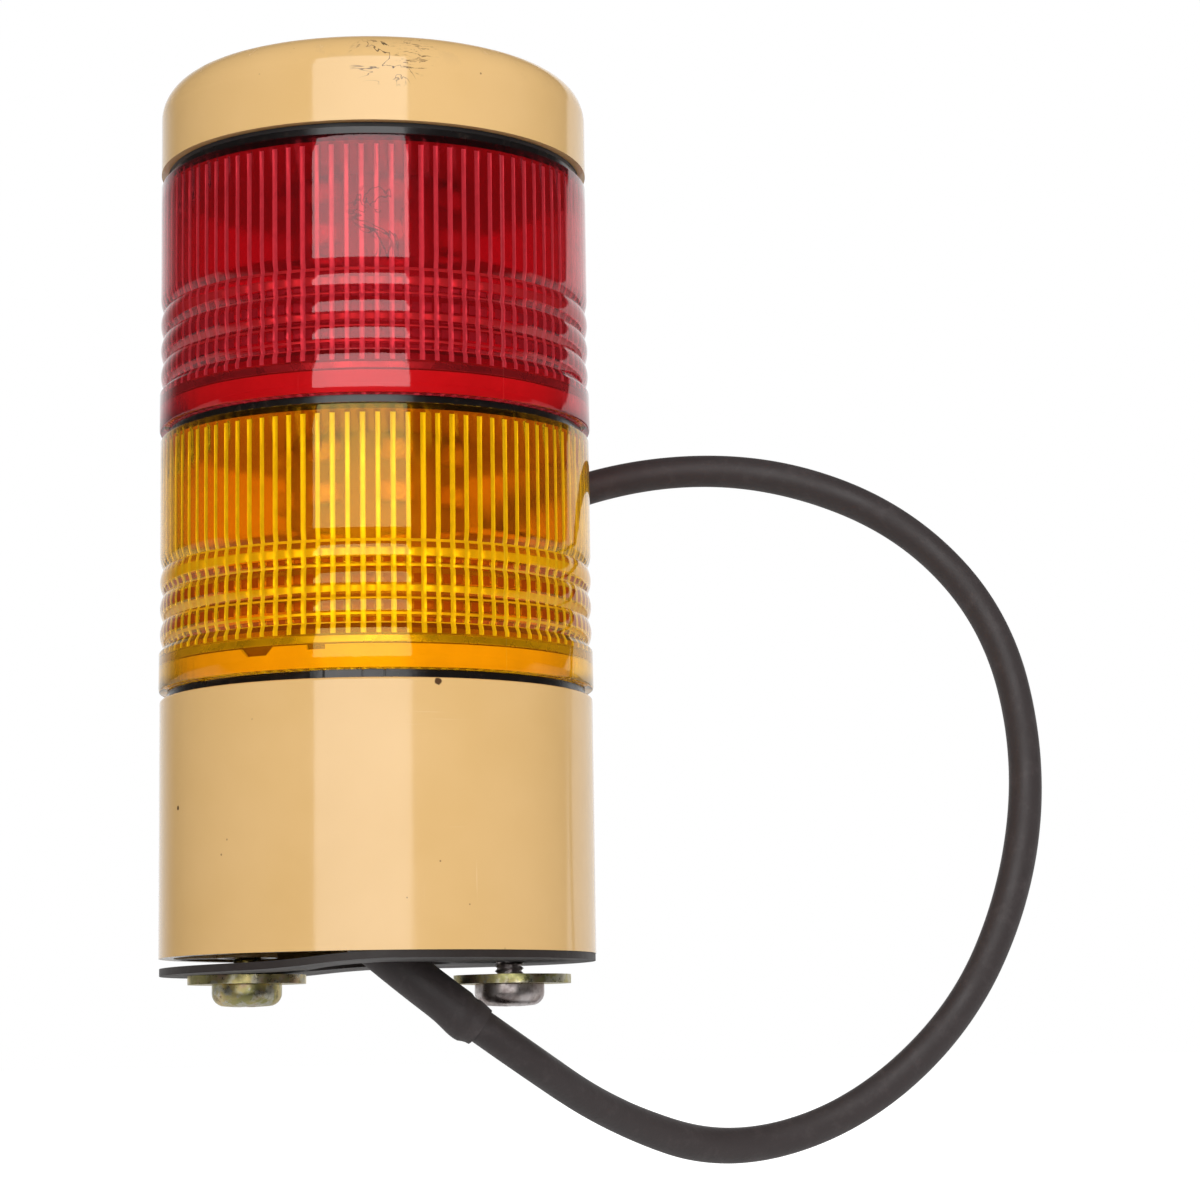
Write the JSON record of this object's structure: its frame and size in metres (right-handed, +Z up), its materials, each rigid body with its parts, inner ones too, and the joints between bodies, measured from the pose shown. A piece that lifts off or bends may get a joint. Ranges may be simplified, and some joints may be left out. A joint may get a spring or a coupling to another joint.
{
  "type": "stack light",
  "caption": "Round signal tower with a red and an amber tier, a cream base and cap, base screws and a looped lead.",
  "frame": {"origin": "centre of the mounting face, which is the base housing's lower rim, midway between the two mounting screws", "axes": "+Z up the tower from the mounting face to the cap, X through the two mounting screws, the front seen in the picture towards -Y"},
  "size_m": [0.1298, 0.0686, 0.1526],
  "materials": {
    "housing_beige": "glossy moulded ABS, cream beige, light scuffs",
    "cap_beige": "glossy moulded ABS, cream beige, scuffed shoulder",
    "ring_black": "glossy black nylon",
    "seal_black": "black rubber",
    "gasket_black": "matte black rubber sheet, warped",
    "lens_amber": "clear amber polycarbonate, fluted and grooved",
    "lens_red": "clear red polycarbonate, fluted and grooved",
    "carrier_pale": "pale moulded plastic",
    "holder_grey": "grey moulded plastic",
    "led_pale": "clear-faced LED packages",
    "contact_brass": "bright brass",
    "screw_zinc": "steel with worn yellow zinc",
    "washer_zinc": "steel with worn yellow zinc",
    "small_screw_steel": "zinc-plated steel",
    "board_green": "green circuit board",
    "clamp_black": "black nylon",
    "sheath_black": "matte black vinyl sheath",
    "sleeve_black": "matte black vinyl sleeve",
    "core_white": "white insulation, tinned tip",
    "core_amber": "yellow insulation, tinned tip",
    "core_red": "red insulation, tinned tip"
  },
  "bodies": {
    "base": {"base_housing": "housing_beige", "threaded_inserts": "contact_brass", "terminal_board": "board_green", "board_screws": "small_screw_steel", "base_contact_pins": "contact_brass", "base_locking_ring": "ring_black", "mounting_gasket": "gasket_black", "mounting_screws": "screw_zinc", "plain_washers": "washer_zinc", "lead": "sheath_black", "lead_sleeve": "sleeve_black", "cord_clamp": "clamp_black", "clamp_screws": "small_screw_steel", "inner_cores": "core_white", "common_core": "core_white", "amber_core": "core_amber", "red_core": "core_red"},
    "amber_module": {"amber_lens": "lens_amber", "amber_carrier": "carrier_pale", "amber_contact_tracks": "contact_brass", "amber_led_holder": "holder_grey", "amber_leds": "led_pale", "amber_contact_pins": "contact_brass", "amber_locking_ring": "ring_black"},
    "red_module": {"red_lens": "lens_red", "red_carrier": "carrier_pale", "red_contact_tracks": "contact_brass", "red_led_holder": "holder_grey", "red_leds": "led_pale", "red_contact_pins": "contact_brass", "red_locking_ring": "ring_black", "cap_seal": "seal_black"},
    "cap": {"head_cap": "cap_beige"}
  },
  "joints": [
    {"name": "amber_module_twist", "type": "hinge", "parent": "base", "child": "amber_module", "pos_m": [0, 0, 0.0365], "axis": [0, 0, 1], "range_deg": [0, 22]},
    {"name": "red_module_twist", "type": "hinge", "parent": "amber_module", "child": "red_module", "pos_m": [0, 0, 0.07295], "axis": [0, 0, 1], "range_deg": [0, 22]},
    {"name": "cap_twist", "type": "hinge", "parent": "red_module", "child": "cap", "pos_m": [0, 0, 0.10995], "axis": [0, 0, 1], "range_deg": [0, 22]}
  ]
}
